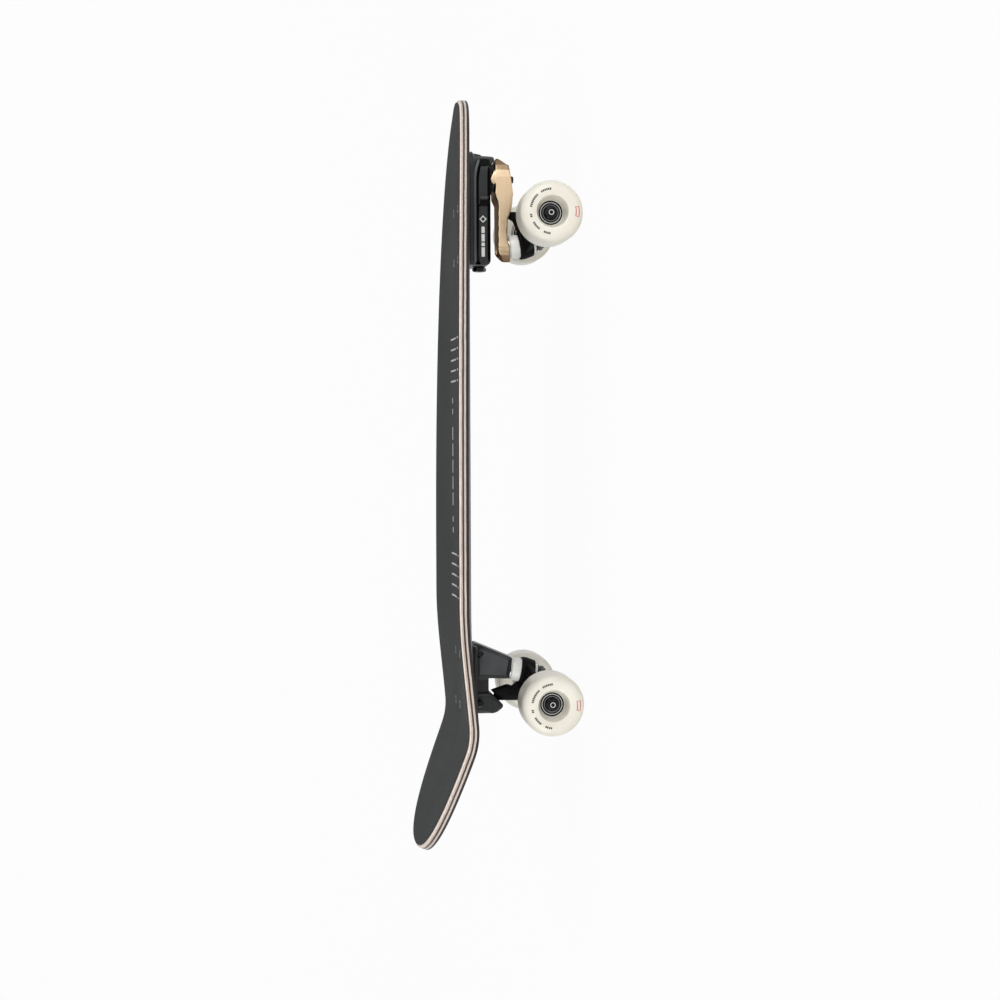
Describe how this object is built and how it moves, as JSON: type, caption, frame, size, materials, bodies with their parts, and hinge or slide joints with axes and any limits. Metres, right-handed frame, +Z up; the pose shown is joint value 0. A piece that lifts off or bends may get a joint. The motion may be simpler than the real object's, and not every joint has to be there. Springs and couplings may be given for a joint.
{
  "type": "surfskate",
  "caption": "Surfskate with a kicked concave deck, a spring-centred swinging front truck, a tilting rear truck and soft wheels.",
  "frame": {"origin": "on the ground under the middle of the deck's length", "axes": "+X to the nose, +Y to the rider's left when facing the nose, +Z up"},
  "size_m": [0.8035, 0.25, 0.1671],
  "materials": {
    "pressed_plies": "pressed maple plies, lacquered edge",
    "grip_sheet": "black grit sheet, matt",
    "black_paint": "satin black powder coat on cast aluminium",
    "gold_anodised": "satin bronze gold anodised",
    "zinc_steel": "bright zinc",
    "black_steel": "black oxide steel",
    "cream_urethane": "cast urethane, satin cream",
    "white_urethane": "cast urethane, satin white",
    "black_rubber": "matt black"
  },
  "bodies": {
    "board": {"deck": "pressed_plies", "grip_tape": "grip_sheet", "front_bolt_front_left": "black_steel", "front_bolt_front_right": "black_steel", "front_bolt_rear_left": "black_steel", "front_bolt_rear_right": "black_steel", "rear_bolt_front_left": "black_steel", "rear_bolt_front_right": "black_steel", "rear_bolt_rear_left": "black_steel", "rear_bolt_rear_right": "black_steel", "rear_riser_pad": "black_rubber", "rear_baseplate": "black_paint", "rear_kingpin": "zinc_steel", "rear_kingpin_nut": "zinc_steel", "rear_boardside_washer": "zinc_steel", "rear_boardside_bushing": "white_urethane", "rear_roadside_bushing": "white_urethane", "rear_roadside_washer": "zinc_steel", "rear_pivot_cup": "black_rubber", "front_housing": "black_paint", "swing_lower_bearing": "zinc_steel", "swing_upper_bearing": "zinc_steel", "centring_spring": "zinc_steel"},
    "adjuster": {"tension_adjuster": "black_steel"},
    "swing_assembly": {"swing_arm": "gold_anodised", "swing_pivot_shaft": "black_steel", "swing_pivot_nut": "black_steel", "swing_thrust_washer": "zinc_steel", "front_kingpin": "zinc_steel", "front_kingpin_nut": "zinc_steel", "front_armside_washer": "zinc_steel", "front_armside_bushing": "white_urethane", "front_roadside_bushing": "white_urethane", "front_roadside_washer": "zinc_steel", "front_pivot_cup": "black_rubber"},
    "front_axle_assembly": {"front_hanger": "black_paint", "front_axle": "zinc_steel", "front_left_bearing_spacer": "zinc_steel", "front_left_axle_nut": "black_steel", "front_right_bearing_spacer": "zinc_steel", "front_right_axle_nut": "black_steel"},
    "rear_axle_assembly": {"rear_hanger": "black_paint", "rear_axle": "zinc_steel", "rear_left_bearing_spacer": "zinc_steel", "rear_left_axle_nut": "black_steel", "rear_right_bearing_spacer": "zinc_steel", "rear_right_axle_nut": "black_steel"},
    "front_left_rolling": {"front_left_wheel": "cream_urethane", "front_left_inner_bearing": "zinc_steel", "front_left_outer_bearing": "zinc_steel"},
    "front_right_rolling": {"front_right_wheel": "cream_urethane", "front_right_inner_bearing": "zinc_steel", "front_right_outer_bearing": "zinc_steel"},
    "rear_left_rolling": {"rear_left_wheel": "cream_urethane", "rear_left_inner_bearing": "zinc_steel", "rear_left_outer_bearing": "zinc_steel"},
    "rear_right_rolling": {"rear_right_wheel": "cream_urethane", "rear_right_inner_bearing": "zinc_steel", "rear_right_outer_bearing": "zinc_steel"}
  },
  "joints": [
    {"name": "front_swing", "type": "hinge", "parent": "board", "child": "swing_assembly", "pos_m": [0.3203, 0, 0.0784], "axis": [0, 0, 1], "range_deg": [-25, 25], "stiffness_Nm_per_rad": 6, "deforming": ["centring_spring"]},
    {"name": "adjuster_slide", "type": "slide", "parent": "board", "child": "adjuster", "axis": [-1, 0, 0], "range_m": [0, 0.006], "deforming": ["centring_spring"]},
    {"name": "front_tilt", "type": "hinge", "parent": "swing_assembly", "child": "front_axle_assembly", "pos_m": [0.2493, 0, 0.04902], "axis": [0.896, 0, 0.4441], "range_deg": [-15, 15], "stiffness_Nm_per_rad": 40, "deforming": ["front_armside_bushing", "front_roadside_bushing"]},
    {"name": "rear_tilt", "type": "hinge", "parent": "board", "child": "rear_axle_assembly", "pos_m": [-0.2113, 0, 0.04902], "axis": [-0.7009, 0, 0.7133], "range_deg": [-15, 15], "stiffness_Nm_per_rad": 40, "deforming": ["rear_boardside_bushing", "rear_roadside_bushing"]},
    {"name": "front_left_spin", "type": "hinge", "parent": "front_axle_assembly", "child": "front_left_rolling", "pos_m": [0.272, 0.0981, 0.0325], "axis": [0, 1, 0], "continuous": true},
    {"name": "front_right_spin", "type": "hinge", "parent": "front_axle_assembly", "child": "front_right_rolling", "pos_m": [0.272, -0.0981, 0.0325], "axis": [0, 1, 0], "continuous": true},
    {"name": "rear_left_spin", "type": "hinge", "parent": "rear_axle_assembly", "child": "rear_left_rolling", "pos_m": [-0.234, 0.0981, 0.0325], "axis": [0, 1, 0], "continuous": true},
    {"name": "rear_right_spin", "type": "hinge", "parent": "rear_axle_assembly", "child": "rear_right_rolling", "pos_m": [-0.234, -0.0981, 0.0325], "axis": [0, 1, 0], "continuous": true}
  ]
}
